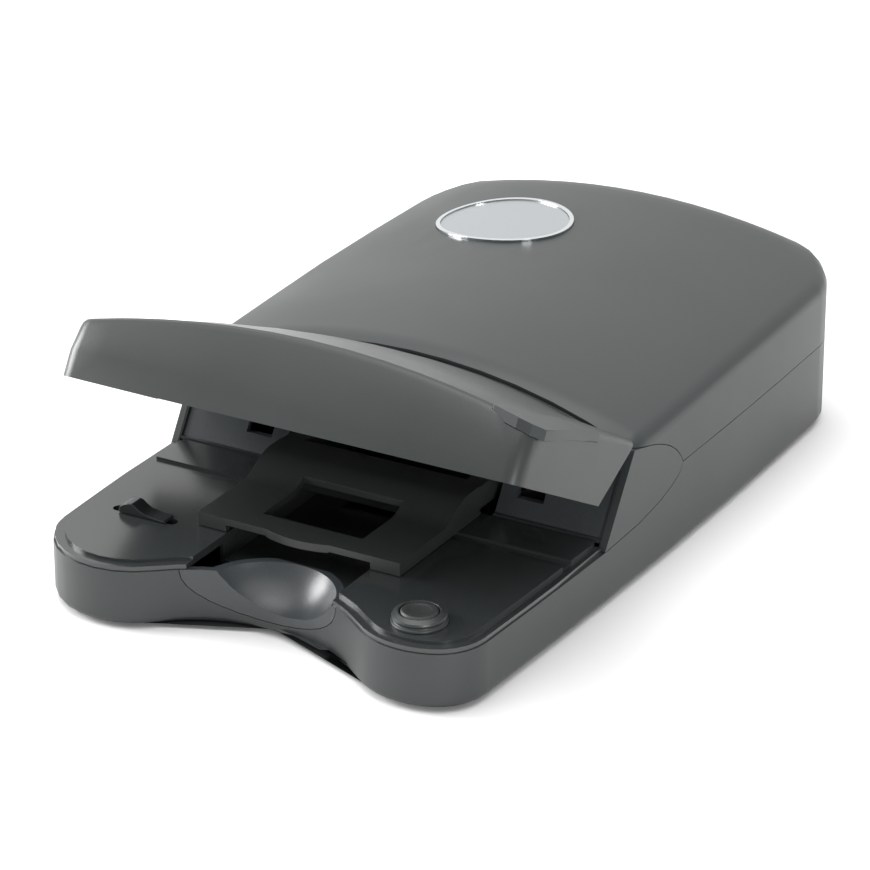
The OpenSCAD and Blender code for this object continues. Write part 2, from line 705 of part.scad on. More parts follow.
rod_z = 30;
leg_z = deck_z + moving_gap;
hump_z = carriage_z + 6;
carriage_back = 166;
window_y = carriage_front + 9.5 + window_l / 2;
frame_rail = 7;
bush_r = rod_r + 1.6;
lug_ys = [124, 154];
lug_len = 10;
rod_front = 108;

// Side view of the carriage: flat in front, then an S-shaped rise to the hump
function carriage_top() = concat([[carriage_front, carriage_z], [carriage_front + 27, carriage_z]],
    [for (i = [1:7]) let (t = i / 8) [carriage_front + 27 + 17 * t,
        carriage_z + (hump_z - carriage_z) * (1 - cos(180 * t)) / 2]],
    [[carriage_front + 44, hump_z]]);

module film_carriage() {
    hw = carriage_half_w;
    front = carriage_top();
    back_y = carriage_front + 52;
    in_front = notch_depth + 20;
    color(deck_black) from_front() difference() {
        union() {
            difference() {
                across(-hw, hw) polygon(concat([[carriage_front, leg_z]], front,
                    [[back_y, hump_z], [back_y, leg_z]]));
                // room under the plate, between the side walls
                across(-hw + 3, hw - 3) polygon(concat([[carriage_front - 1, leg_z - 1],
                    [carriage_front - 1, carriage_z - carriage_t]],
                    [for (p = front) p - [0, carriage_t]], [[back_y + 1, hump_z - carriage_t],
                    [back_y + 1, leg_z - 1]]));
            }
            // feet at the front corners
            for (s = [-1, 1]) translate([s * (hw - 5.5) - 5.5, carriage_front, leg_z])
                cube([11, 2.4, carriage_z - leg_z - 0.5]);
            // thumb bulge on the front edge
            translate([0, carriage_front, carriage_z - carriage_t - 0.4]) linear_extrude(carriage_t + 0.4)
                polygon([for (i = [0:12]) [-11.9 + 23.8 * i / 12, -2.2 * pow(sin(15 * i), 0.8)]]);
            // rails that run back into the case, tied at their ends
            for (s = [-1, 1]) translate([s * (hw - frame_rail / 2) - frame_rail / 2, back_y - 3, rod_z - 4])
                cube([frame_rail, carriage_back - back_y + 3, 8]);
            for (y = [back_y - 3, carriage_back - 6]) translate([-hw, y, rod_z])
                cube([2 * hw, 6, 4]);
            // lugs for the bushes and the nut
            for (y = lug_ys, s = [-1, 1]) translate([s * rod_x, y, rod_z]) rotate([-90, 0, 0])
                cylinder(r = bush_r + 2, h = lug_len);
            for (y = lug_ys, s = [-1, 1]) translate([s * (hw + 1) - 2, y, rod_z - 4]) cube([4, lug_len, 8]);
            translate([rod_x + 2, lug_ys[1], rod_z - 5.5]) cube([screw_x - rod_x + 4.5, lug_len, 11]);
        }
        translate([-window_w / 2, window_y - window_l / 2, 0]) cube([window_w, window_l, 60]);
        for (s = [-1, 1]) translate([s * rod_x, 0, rod_z]) rotate([-90, 0, 0]) cylinder(r = bush_r, h = 200);
        translate([screw_x, 0, rod_z]) rotate([-90, 0, 0]) cylinder(r = screw_r + 1.5, h = 200);
    }
}

module carriage_bushes() {
    color("goldenrod") from_front() for (y = lug_ys, s = [-1, 1]) translate([s * rod_x, y, rod_z])
        rotate([-90, 0, 0]) tube(bush_r - 0.02, rod_r + running, lug_len);
}

module drive_nut() {
    color("goldenrod") from_front() translate([screw_x, lug_ys[1], rod_z]) rotate([-90, 0, 0])
        tube(screw_r + 1.48, screw_r + running, lug_len);
}

module guide_rods() {
    color("silver") from_front() for (s = [-1, 1]) translate([s * rod_x, rod_front, rod_z])
        rotate([-90, 0, 0]) cylinder(r = rod_r, h = rear_post + post_t - rod_front);
}

post_t = 4;
front_post = 113;
rear_post = 240;
chassis_z = foot_h + 3.6;
chassis_t = 1.6;
chassis_feet = [for (x = [-60, 60], y = [119.8, 232]) [x, y]];
motor_r = 10;
motor_len = 13;
bearing_r = screw_r + 2;

module lead_screw() {
    y0 = front_post + 0.5;
    y1 = rear_post + post_t + 4;
    turns = floor((rear_post - 6 - front_post - post_t - 4) / 2);
    color("silver") from_front() translate([screw_x, y0, rod_z]) rotate([-90, 0, 0]) rotate_extrude()
        polygon(concat([[0, 0], [screw_r, 0], [screw_r, post_t + 3]],
            [for (i = [0:turns - 1]) each [[screw_r - 0.4, post_t + 3.6 + 2 * i],
                [screw_r, post_t + 4.2 + 2 * i], [screw_r, post_t + 5 + 2 * i]]],
            [[screw_r, y1 - y0], [0, y1 - y0]]));
}

module screw_bearings() {
    color("goldenrod") from_front() for (y = [front_post, rear_post]) translate([screw_x, y, rod_z])
        rotate([-90, 0, 0]) tube(bearing_r - 0.02, screw_r + running, post_t);
}

module stepper_motor() {
    y0 = rear_post + post_t;
    color("#9a9d9f") from_front() translate([screw_x, y0, rod_z]) rotate([-90, 0, 0]) difference() {
        union() {
            cylinder(r = motor_r, h = motor_len);
            linear_extrude(1) {
                square([31, 7], center = true);
                for (s = [-1, 1]) translate([s * 15.5, 0]) circle(r = 3.5);
            }
        }
        translate([0, 0, -1]) cylinder(r = screw_r + 0.3, h = 6);
        for (s = [-1, 1]) translate([s * 15.5, 0, -1]) cylinder(r = 1.3, h = 4);
    }
}

// Sheet chassis with two upright posts on each side that hold the rods and the screw
module chassis() {
    hole = [40, 30];
    color("#8d9092") from_front() difference() {
        union() {
            translate([-65, 113, chassis_z]) cube([130, 131, chassis_t]);
            for (y = [front_post, rear_post]) {
                translate([-rod_x - 6, y, chassis_z]) cube([11, post_t, rod_z + 6 - chassis_z]);
                translate([rod_x - 5, y, chassis_z]) cube([screw_x - rod_x + 11, post_t, rod_z + 6 - chassis_z]);
            }
            // towers for the lamp
            for (s = [-1, 1]) translate([s * 63 - 1, lamp_y - 8, chassis_z]) cube([2, 16, lamp_z - chassis_z]);
        }
        for (s = [-1, 1]) translate([s * rod_x, 0, rod_z]) rotate([-90, 0, 0])
            cylinder(r = rod_r + 0.02, h = 300);
        translate([screw_x, 0, rod_z]) rotate([-90, 0, 0]) cylinder(r = bearing_r, h = 300);
        for (p = chassis_feet) translate([p.x, p.y, 0]) cylinder(r = 1.6, h = 20);
        translate([-20, 176, 0]) cube([hole.x, hole.y, 20]);
    }
}

module chassis_screws() {
    color("silver") from_front() for (p = chassis_feet) translate([p.x, p.y, chassis_z + chassis_t]) {
        cylinder(r = 2.5, h = 1.6);
        translate([0, 0, floor_z - 1 - chassis_z - chassis_t]) cylinder(r = 1.25, h = chassis_z + chassis_t - floor_z + 1.1);
    }
}

// ---- Lamp, mirror, lens and sensor ----

lamp_y = carriage_front + 9.5 + window_l / 2 + carriage_travel;
lamp_z = 44;
lamp_r = 1.5;

module lamp_housing() {
    color("white") from_front() difference() {
        translate([-64, lamp_y - 9, lamp_z]) cube([128, 18, 8.2]);
        translate([-52, lamp_y - 7, lamp_z - 1]) cube([104, 14, 7.8]);
    }
}

module lamp_tube() {
    color("#e8eef2") from_front() translate([-50, lamp_y, lamp_z + 4]) rotate([0, 90, 0])
        cylinder(r = lamp_r, h = 100, $fn = 24);
}

module lamp_caps() {
    color("#303234") from_front() for (s = [-1, 1]) translate([s * 49.6, lamp_y, lamp_z + 4]) rotate([0, 90, 0])
        difference() {
            cylinder(r = 2.8, h = 4.6, center = true);
            translate([0, 0, s > 0 ? -3.3 : -1.3]) cylinder(r = lamp_r + 0.02, h = 4.6);
        }
}

module inverter_board() {
    color("#2f6b45") from_front() {
        translate([-63.9, lamp_y + 10, lamp_z - 4]) cube([1.6, 40, 12]);
        translate([-62.4, lamp_y + 16, lamp_z - 2]) cube([7, 14, 8]);
        translate([-65, lamp_y + 8.2, chassis_z + chassis_t]) cube([1.6, 44, lamp_z + 6 - chassis_z]);
    }
}

axis_z = chassis_z + chassis_t + 7.5;
mirror_y = lamp_y;
lens_y = 176;
sensor_y = 214;

module mirror_bracket() {
    h = 13;
    color("#303234") from_front() difference() {
        across(-24, 24) translate([mirror_y - 8, chassis_z + chassis_t]) polygon([[0, 0], [15, 0], [0, 15]]);
        across(-21, 21) translate([mirror_y - 8, chassis_z + chassis_t]) polygon([[-1, 2], [9, 2], [-1, 11]]);
    }
}

module fold_mirror() {
    base = chassis_z + chassis_t;
    color("#cfd8dc") from_front() across(-22, 22) polygon([[mirror_y + 7.2, base + 0.05], [mirror_y + 8.6, base + 0.05],
        [mirror_y - 5.0, base + 13.6], [mirror_y - 6.4, base + 13.6]]);
}

module lens_holder() {
    color("#303234") from_front() difference() {
        union() {
            translate([-12, lens_y, chassis_z + chassis_t]) cube([24, 22, 5]);
            translate([0, lens_y, axis_z]) rotate([-90, 0, 0]) cylinder(r = 9.4, h = 22);
        }
        translate([0, lens_y - 1, axis_z]) rotate([-90, 0, 0]) cylinder(r = 7.02, h = 24);
        translate([-15, lens_y - 1, 0]) cube([30, 24, chassis_z + chassis_t]);
        translate([-20, lens_y - 1, chassis_z + chassis_t + 14]) cube([40, 24, 8]);
    }
}

module lens_barrel() {
    color("#1b1c1d") from_front() translate([0, lens_y - 4, axis_z]) rotate([-90, 0, 0]) rotate_extrude()
        polygon([[5, 0], [7, 0], [7, 30], [5, 30], [5, 27], [4, 27], [4, 3], [5, 3]]);
}

module lens_glass() {
    color("#9fc4d8") from_front() for (y = [lens_y - 3.6, lens_y + 23]) translate([0, y, axis_z])
        rotate([-90, 0, 0]) cylinder(r = 4.98, h = 2.6);
}

module sensor_board() {
    color("#2f6b45") from_front() {
        translate([-26, sensor_y, chassis_z + chassis_t]) cube([52, 1.6, 20]);
        for (s = [-1, 1]) translate([s * 22 - 3, sensor_y + 1.6, chassis_z + chassis_t]) cube([6, 6, 8]);
    }
}

module sensor_chip() {
    color("#303234") from_front() translate([-18, sensor_y - 3, axis_z - 5]) cube([36, 3, 10]);
}

// ---- Main board and the rear sockets ----

board_z = rear_part_z - 6;
board_y0 = rear_post - 14;

module main_board() {
    y1 = body_len - 9;
    color("#2f6b45") from_front() {
        translate([-30, board_y0, board_z - 1.6]) cube([56, y1 - board_y0, 1.6]);
        for (x = [-26, 22], y = [board_y0 + 3, y1 - 3]) translate([x, y, y > rear_post + post_t ? floor_z : chassis_z + chassis_t])
            cylinder(r = 2.2, h = board_z - 1.6 - (y > rear_post + post_t ? floor_z : chassis_z + chassis_t));
    }
}

module board_chips() {
    color("#303234") from_front() {
        translate([-22, board_y0 + 4, board_z]) cube([14, 14, 2.2]);
        translate([-2, board_y0 + 4, board_z]) cube([10, 8, 1.8]);
        translate([12, board_y0 + 5, board_z]) cube([8, 12, 6]);
    }
}

module usb_socket() {
    w = 12;
    h = 11;
    d = 14;
    color("silver") from_front() translate([usb_x - w / 2, body_len - 1.2 - d, board_z]) {
        difference() {
            cube([w, d, h]);
            translate([1, 4, 1]) cube([w - 2, d, h - 2]);
        }
        translate([3.2, 3, 3.8]) cube([w - 6.4, 3.2, 3.2]);
    }
}

module power_jack() {
    w = 10;
    h = 11;
    d = 13;
    color("#222426") from_front() translate([jack_x - w / 2, body_len - 1.2 - d, board_z]) {
        difference() {
            cube([w, d, h]);
            translate([w / 2, 4, h / 2]) rotate([-90, 0, 0]) cylinder(r = 2.8, h = d);
        }
        translate([w / 2, 3.5, h / 2]) rotate([-90, 0, 0]) cylinder(r = 1, h = d - 5.5);
    }
}

rocker_tilt = 8;
rocker_r = 6.2;
rocker_y = body_len - 7.8;

module switch_bezel() {
    w = rocker_w - 0.3;
    h = rocker_h - 0.3;
    color("#222426") from_front() difference() {
        union() {
            along(body_len - 17, body_len - 1.6) translate([rocker_x - w / 2, rear_part_z - h / 2]) square([w, h]);
            along(bezel_y + 0.02, bezel_y + 1.1) translate([rocker_x - w / 2 - 1.2, rear_part_z - h / 2 - 1.2])
                square([w + 2.4, h + 2.4]);
        }
        along(body_len - 13.5, body_len + 1) translate([rocker_x - w / 2 + 1.3, rear_part_z - h / 2 + 1.3])
            square([w - 2.6, h - 2.6]);
        translate([rocker_x, rocker_y, rear_part_z]) rotate([0, 90, 0]) cylinder(r = 1.03, h = 13.9, center = true);
    }
}

// Rocker with its pivot pin, rocked to its off side
module power_switch() {
    w = rocker_w - 3.6;
    color("#222426") from_front() translate([rocker_x, rocker_y, rear_part_z]) rotate([rocker_tilt, 0, 0]) {
        translate([-w / 2, 0, 0]) rotate([90, 0, 90]) linear_extrude(w)
            polygon([[-1.6, -1.8], [6, -2.9], [5.3, 0], [6, 2.9], [-1.6, 1.8]]);
        rotate([0, 90, 0]) cylinder(r = 1, h = 13.6, center = true);
    }
}

// ---- Controls ----

button_c = [lobe_x + 2, button_y];
button_top = deck_z + 4.2;
button_travel = 1.2;
board_top = 15.6;

module scan_button() {
    color("#3a3d3f") from_front() translate([button_c.x, button_c.y, 0]) rotate_extrude()
        polygon([[0, board_top + 3.6], [2.4, board_top + 3.6], [2.4, deck_z - 1.4], [button_r, deck_z - 1.4],
            [button_r, button_top - 0.6], [button_r - 0.6, button_top], [4.2, button_top], [3.4, button_top - 0.3],
            [0, button_top - 0.3]]);
}

module button_ring() {
    inner = button_r + moving_gap;
    color("#3a3d3f") from_front() translate([button_c.x, button_c.y, deck_z]) rotate_extrude()
        polygon([[inner, 0], [ring_r, 0], [ring_r, 0.8], [ring_r - 0.7, 1.2], [ring_r - 0.7, 1.8],
            [ring_r - 0.2, 2.2], [ring_r - 0.5, 3], [inner + 0.6, 3.9], [inner, 3.9]]);
}

module button_board() {
    color("#2f6b45") from_front() translate([button_c.x, button_c.y, 0]) {
        translate([-11, -7, board_top - 1.6]) cube([22, 14, 1.6]);
        for (s = [-1, 1]) translate([s * 8.6, 0, floor_z]) cylinder(r = 2.2, h = board_top - 1.6 - floor_z);
    }
}

module button_switch() {
    color("#222426") from_front() translate([button_c.x, button_c.y, board_top]) {
        translate([-3, -3, 0]) cube([6, 6, 1.6]);
        cylinder(r = 1.6, h = 2.1);
    }
}

lever_x0 = -66.3;
lever_travel = 8.5;

// Wedge with a raised left end, on a stem that passes through the slot
module slide_lever() {
    color("#303234") from_front() {
        along(lever_y - 3, lever_y + 3) translate([lever_x0, deck_z + 0.3])
            polygon([[0, 0], [0.3, 1.6], [1.3, 2.8], [3.2, 3.6], [5.2, 3.9], [6.6, 3.4], [8, 2.3], [9.8, 1.4],
                [13, 0.9], [17.8, 0.6], [18.3, 0]]);
        translate([lever_x0 + 1.6, lever_y - 1.6, deck_z - deck_t - 2.2]) cube([7, 3.2, deck_t + 2.8]);
    }
}

module lever_clip() {
    color("silver") from_front() difference() {
        translate([lever_x0 - 1, lever_y - 4, deck_z - deck_t - 1.4]) cube([12, 8, 1]);
        translate([lever_x0 + 1.55, lever_y - 1.65, deck_z - deck_t - 3]) cube([7.1, 3.3, 4]);
    }
}

// ---- Feet and fixing screws ----

module rubber_feet() {
    color("#18191a") from_front() for (p = foot_places) translate([p.x, p.y, 0]) rotate_extrude()
        polygon([[0, 0], [foot_r - 0.8, 0], [foot_r, 0.6], [foot_r, foot_h], [0, foot_h]]);
}

module case_screws() {
    seat = floor_z + screw_head_h - 1;
    color("silver") from_front() for (p = concat(deck_screws, cover_screws)) translate([p.x, p.y, seat]) {
        translate([0, 0, -screw_head_h]) difference() {
            cylinder(r = screw_head_r, h = screw_head_h);
            translate([0, 0, 0.5]) cube([0.9, 4.4, 2], center = true);
            translate([0, 0, 0.5]) cube([4.4, 0.9, 2], center = true);
        }
        translate([0, 0, -0.1]) cylinder(r = screw_shank_r, h = 15);
    }
}

base_case();
top_cover();
front_deck();
finger_scoop();
film_tray();
left_cheek();
right_cheek();
bay_frame();
front_lid();
lid_tab();
hinge_pins();
film_carriage();
carriage_bushes();
drive_nut();
lead_screw();
guide_rods();
screw_bearings();
stepper_motor();
chassis();
lamp_housing();
lamp_tube();
lamp_caps();
inverter_board();
fold_mirror();
mirror_bracket();
lens_holder();
lens_barrel();
lens_glass();
sensor_board();
sensor_chip();
main_board();
board_chips();
usb_socket();
power_jack();
switch_bezel();
power_switch();
scan_button();
button_ring();
button_board();
button_switch();
slide_lever();
lever_clip();
badge_rim();
badge_plate();
rubber_feet();
case_screws();
chassis_screws();
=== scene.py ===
"""Dresses a desktop film negative scanner, lid open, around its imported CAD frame.

Every length is in metres and every place is in the frame's own axes: +Z up, -Y
the front with the film slot, +X the right-hand side.
"""

import logging
import math
from dataclasses import dataclass, field
from enum import Enum
from typing import Any

import bpy
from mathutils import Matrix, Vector


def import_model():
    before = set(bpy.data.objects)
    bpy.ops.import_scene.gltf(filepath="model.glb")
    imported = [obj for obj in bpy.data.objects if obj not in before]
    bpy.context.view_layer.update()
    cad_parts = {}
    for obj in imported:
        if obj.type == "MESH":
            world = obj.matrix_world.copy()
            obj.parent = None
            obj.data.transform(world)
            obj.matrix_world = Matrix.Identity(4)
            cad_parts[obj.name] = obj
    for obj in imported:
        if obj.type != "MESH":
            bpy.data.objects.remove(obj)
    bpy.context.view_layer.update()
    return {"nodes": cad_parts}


log = logging.getLogger("film_scanner")

MM = 0.001
Colour = tuple[float, float, float, float]
Point = tuple[float, float, float]
WHITE: Colour = (1.0, 1.0, 1.0, 1.0)

# sRGB's curve: a straight foot below the knee, a power above it
SRGB_KNEE = 0.04045
SRGB_FOOT_SLOPE = 12.92
SRGB_OFFSET = 0.055
SRGB_POWER = 2.4

# a noise texture stays mostly between these values, so its full effect spans them
NOISE_LOW = 0.3
NOISE_HIGH = 0.7
# no moulded skin is smoother than this
LEAST_ROUGHNESS = 0.02

# points closer than this belong to one corner of neighbouring facets
WELD_MM = 0.004
# faces that meet at more than this keep a hard edge
HARD_EDGE_DEGREES = 24.0


def srgb(code: str) -> Colour:
    """Turns an sRGB hex colour into linear light.

    Args:
        code: Six hex digits with a leading #.

    Returns:
        Linear red, green and blue, and an alpha of 1.
    """
    channels = [int(code[i : i + 2], 16) / 255 for i in (1, 3, 5)]
    red, green, blue = (
        c / SRGB_FOOT_SLOPE
        if c <= SRGB_KNEE
        else ((c + SRGB_OFFSET) / (1 + SRGB_OFFSET)) ** SRGB_POWER
        for c in channels
    )
    return red, green, blue, 1.0


def scaled(colour: Colour, factor: float) -> Colour:
    """Returns a linear colour made lighter or darker, at most white."""
    red, green, blue = (min(1.0, c * factor) for c in colour[:3])
    return red, green, blue, 1.0


def per_metre(size_mm: float) -> float:
    """Returns the texture scale whose pattern repeats about every size_mm."""
    return 1.0 / MM / size_mm


def add_node(
    tree: bpy.types.NodeTree,
    kind: str,
    settings: dict[str, Any] | None = None,
    values: dict[Any, Any] | None = None,
    links: dict[Any, bpy.types.NodeSocket] | None = None,
) -> bpy.types.Node:
    """Adds one node to a tree.

    Args:
        tree: The tree that takes the node.
        kind: The node's bl_idname.
        settings: Attributes of the node itself.
        values: Input socket (name or number) to its constant value.
        links: Input socket (name or number) to the output that feeds it.

    Returns:
        The new node.
    """
    node = tree.nodes.new(kind)
    for key, value in (settings or {}).items():
        setattr(node, key, value)
    for key, value in (values or {}).items():
        node.inputs[key].default_value = value
    for key, output in (links or {}).items():
        tree.links.new(output, node.inputs[key])
    return node


def new_material(
    name: str,
) -> tuple[bpy.types.Material, bpy.types.NodeTree, bpy.types.NodeSocket]:
    """Makes an empty material.

    Args:
        name: The material's name.

    Returns:
        The material, its tree and the output's surface socket.
    """
    material = bpy.data.materials.new(name)
    material.use_nodes = True
    tree = material.node_tree
    tree.nodes.clear()
    output = add_node(tree, "ShaderNodeOutputMaterial")
    return material, tree, output.inputs["Surface"]


def place(
    tree: bpy.types.NodeTree, stretch: Point = (1.0, 1.0, 1.0)
) -> bpy.types.NodeSocket:
    """Gives the surface point in metres, as textures read it.

    Args:
        tree: The material's tree.
        stretch: Factor on each axis, to draw a pattern out along one of them.

    Returns:
        The vector output.
    """
    coordinates = add_node(tree, "ShaderNodeTexCoord")
    mapping = add_node(
        tree,
        "ShaderNodeMapping",
        values={"Scale": stretch},
        links={"Vector": coordinates.outputs["Object"]},
    )
    return mapping.outputs["Vector"]


@dataclass(frozen=True)
class MouldedPlastic:
    """Moulded plastic, rubber or epoxy: the mould's surface sets how it shines.

    A spark-eroded mould leaves a fine pebble that breaks a highlight into grains,
    and a polished one leaves a smooth skin that mirrors what is near it. The real
    pebble is 0.1 to 0.3 mm across, too fine to show, so it is drawn two to five
    times as coarse.

    Attributes:
        name: The material's name.
        colour: Its sRGB hex colour.
        roughness: Its mean roughness.
        grain_mm: Width of the pebble's grains.
        grain_height_mm: Their height.
        speckle: Share by which the grains are lighter and darker than the colour.
        melt_mm: Width of the faint cloudiness where the melt flowed.
        melt_spread: Roughness that the cloudiness adds and takes away.
        coat: Weight of a clear, smoother skin over the colour.
        coat_roughness: Roughness of that skin.
        ior: Index of refraction.
        octaves: Levels of finer noise in the grain and the cloudiness.
        octave_weight: How much of the grain each finer level keeps.
    """

    name: str
    colour: str
    roughness: float
    grain_mm: float = 0.55
    grain_height_mm: float = 0.012
    speckle: float = 0.06
    melt_mm: float = 55.0
    melt_spread: float = 0.03
    coat: float = 0.0
    coat_roughness: float = 0.1
    ior: float = 1.53
    octaves: float = 2.0
    octave_weight: float = 0.6

    def build(self) -> bpy.types.Material:
        """Returns the material."""
        material, tree, surface = new_material(self.name)
        point = place(tree)
        grain = add_node(
            tree,
            "ShaderNodeTexNoise",
            values={
                "Scale": per_metre(self.grain_mm),
                "Detail": self.octaves,
                "Roughness": self.octave_weight,
            },
            links={"Vector": point},
        )
        melt = add_node(
            tree,
            "ShaderNodeTexNoise",
            values={"Scale": per_metre(self.melt_mm), "Detail": self.octaves},
            links={"Vector": point},
        )
        base = srgb(self.colour)
        spread = 1.0 + self.speckle
        tone = add_node(
            tree,
            "ShaderNodeMixRGB",
            values={
                "Color1": scaled(base, 1.0 / spread),
                "Color2": scaled(base, spread),
            },
            links={"Fac": grain.outputs["Fac"]},
        )
        shine = add_node(
            tree,
            "ShaderNodeMapRange",
            values={
                "From Min": NOISE_LOW,
                "From Max": NOISE_HIGH,
                "To Min": max(LEAST_ROUGHNESS, self.roughness - self.melt_spread),
                "To Max": self.roughness + self.melt_spread,
            },
            links={"Value": melt.outputs["Fac"]},
        )
        bump = add_node(
            tree,
            "ShaderNodeBump",
            values={"Strength": 1.0, "Distance": self.grain_height_mm * MM},
            links={"Height": grain.outputs["Fac"]},
        )
        shader = add_node(
            tree,
            "ShaderNodeBsdfPrincipled",
            values={
                "IOR": self.ior,
                "Coat Weight": self.coat,
                "Coat Roughness": self.coat_roughness,
            },
            links={
                "Base Color": tone.outputs["Color"],
                "Roughness": shine.outputs["Result"],
                "Normal": bump.outputs["Normal"],
            },
        )
        tree.links.new(shader.outputs["BSDF"], surface)
        return material


class Lay(Enum):
    """Direction of the fine lines that a metal's making left on it.

    Each value is the stretch of the noise on the three axes: a small factor draws
    the grains out into lines along that axis, and a large one packs them.
    """

    ALONG_Y = (1.0, 0.02, 1.0)
    AROUND_Y = (1.0, 8.0, 1.0)
    NONE = (1.0, 1.0, 1.0)


@dataclass(frozen=True)
class WorkedMetal:
    """Rolled, turned or plated metal with the lines of its making.

    Real lines are some hundredths of a millimetre apart, too fine to show, so they
    are drawn coarser.

    Attributes:
        name: The material's name.
        colour: Its sRGB hex colour.
        roughness: Its mean roughness.
        lay: Direction of the lines.
        line_mm: Spacing of the lines.
        line_height_mm: Their height.
        shine_spread: Share by which the lines are rougher and smoother.
        octaves: Levels of finer noise in the lines.
    """

    name: str
    colour: str
    roughness: float
    lay: Lay = Lay.NONE
    line_mm: float = 0.3
    line_height_mm: float = 0.002
    shine_spread: float = 0.25
    octaves: float = 3.0

    def build(self) -> bpy.types.Material:
        """Returns the material."""
        material, tree, surface = new_material(self.name)
        lines = add_node(
            tree,
            "ShaderNodeTexNoise",
            values={"Scale": per_metre(self.line_mm), "Detail": self.octaves},
            links={"Vector": place(tree, self.lay.value)},
        )
        shine = add_node(
            tree,
            "ShaderNodeMapRange",
            values={
                "From Min": NOISE_LOW,
                "From Max": NOISE_HIGH,
                "To Min": self.roughness * (1.0 - self.shine_spread),
                "To Max": self.roughness * (1.0 + self.shine_spread),
            },
            links={"Value": lines.outputs["Fac"]},
        )
        bump = add_node(
            tree,
            "ShaderNodeBump",
            values={"Strength": 1.0, "Distance": self.line_height_mm * MM},
            links={"Height": lines.outputs["Fac"]},
        )
        shader = add_node(
            tree,
            "ShaderNodeBsdfPrincipled",
            values={"Base Color": srgb(self.colour), "Metallic": 1.0},
            links={
                "Roughness": shine.outputs["Result"],
                "Normal": bump.outputs["Normal"],
            },
        )
        tree.links.new(shader.outputs["BSDF"], surface)
        return material


@dataclass(frozen=True)
class BoardLaminate:
    """Woven glass and epoxy under a green resist, with copper runs below it.

    Attributes:
        name: The material's name.
        resist: Colour of the resist over bare board.
        run: Lighter colour of the resist over copper.
        cell_mm: Width of a field in which the runs follow each other's bends.
        jitter: How far the fields leave a square grid, from 0 to 1.
        run_pitch: Half the spacing of the runs, as a share of a field.
        run_edge: Where in that half spacing a run begins.
        roughness: The resist's roughness.
        ior: Its index of refraction.
    """

    name: str = "epoxy_board_green_resist"
    resist: str = "#1c5a34"
    run: str = "#2f7d4c"
    cell_mm: float = 6.6
    jitter: float = 0.8
    run_pitch: float = 0.12
    run_edge: float = 0.075
    roughness: float = 0.32
    ior: float = 1.55

    def build(self) -> bpy.types.Material:
        """Returns the material."""
        material, tree, surface = new_material(self.name)
        runs = add_node(
            tree,
            "ShaderNodeTexVoronoi",
            settings={"distance": "MANHATTAN", "feature": "F1"},
            values={"Scale": per_metre(self.cell_mm), "Randomness": self.jitter},
            links={"Vector": place(tree)},
        )
        bands = add_node(
            tree,
            "ShaderNodeMath",
            settings={"operation": "PINGPONG"},
            values={1: self.run_pitch},
            links={0: runs.outputs["Distance"]},
        )
        step = add_node(
            tree,
            "ShaderNodeMath",
            settings={"operation": "GREATER_THAN"},
            values={1: self.run_edge},
            links={0: bands.outputs[0]},
        )
        tone = add_node(
            tree,
            "ShaderNodeMixRGB",
            values={"Color1": srgb(self.resist), "Color2": srgb(self.run)},
            links={"Fac": step.outputs[0]},
        )
        shader = add_node(
            tree,
            "ShaderNodeBsdfPrincipled",
            values={"Roughness": self.roughness, "IOR": self.ior},
            links={"Base Color": tone.outputs["Color"]},
        )
        tree.links.new(shader.outputs["BSDF"], surface)
        return material


@dataclass(frozen=True)
class OpticalGlass:
    """Ground and polished glass, or the thin wall of a lamp tube.

    Attributes:
        name: The material's name.
        tint: Its sRGB hex colour.
        transmission: Share of the light that passes through.
        roughness: Its roughness.
        ior: Index of refraction of crown glass.
    """

    name: str
    tint: str
    transmission: float
    roughness: float = 0.02
    ior: float = 1.52

    def build(self) -> bpy.types.Material:
        """Returns the material."""
        material, tree, surface = new_material(self.name)
        shader = add_node(
            tree,
            "ShaderNodeBsdfPrincipled",
            values={
                "Base Color": srgb(self.tint),
                "Roughness": self.roughness,
                "IOR": self.ior,
                "Transmission Weight": self.transmission,
            },
        )
        tree.links.new(shader.outputs["BSDF"], surface)
        return material


Finish = MouldedPlastic | WorkedMetal | BoardLaminate | OpticalGlass

# Charcoal ABS from a spark-eroded mould: a fine pebble with a soft grainy shine
CASE_SHELL = MouldedPlastic(
    "abs_spark_eroded_charcoal", "#2c3030", 0.38, grain_height_mm=0.02
)
# Charcoal ABS from a satin mould: a tighter shine, with a slightly deeper grain
LID_SHELL = MouldedPlastic("abs_satin_charcoal", "#2c302f", 0.32, grain_height_mm=0.03)
# Black ABS from a nearly polished mould: it mirrors the lid and the room softly
DECK_SKIN = MouldedPlastic(
    "abs_polished_black",
    "#2e3131",
    0.24,
    grain_mm=0.8,
    grain_height_mm=0.004,
    coat=0.35,
    coat_roughness=0.16,
)
# Black ABS with a fine matt texture: dark and even, bright only on its edges
CARRIAGE_SKIN = MouldedPlastic("abs_matt_black", "#282a2a", 0.46)
# Graphite-pigmented ABS, satin: its metal flake makes the shine sparkle
SCOOP_SKIN = MouldedPlastic(
    "abs_satin_graphite",
    "#34383a",
    0.30,
    grain_mm=0.6,
    grain_height_mm=0.035,
    speckle=0.25,
)
# Black nylon for small working parts, slightly waxy
NYLON_BLACK = MouldedPlastic("nylon_black", "#191b1c", 0.38, grain_height_mm=0.006)
# White ABS reflector, matt so that it spreads the lamp's light
REFLECTOR_WHITE = MouldedPlastic("abs_matt_white", "#e6e6e1", 0.6)
# Black moulded epoxy of chips, dull with a fine texture
CHIP_EPOXY = MouldedPlastic("epoxy_mould_compound", "#1a1b1c", 0.5)
# Rubber, compression-moulded and dull
FOOT_RUBBER = MouldedPlastic("rubber_black", "#151616", 0.72, grain_height_mm=0.03)
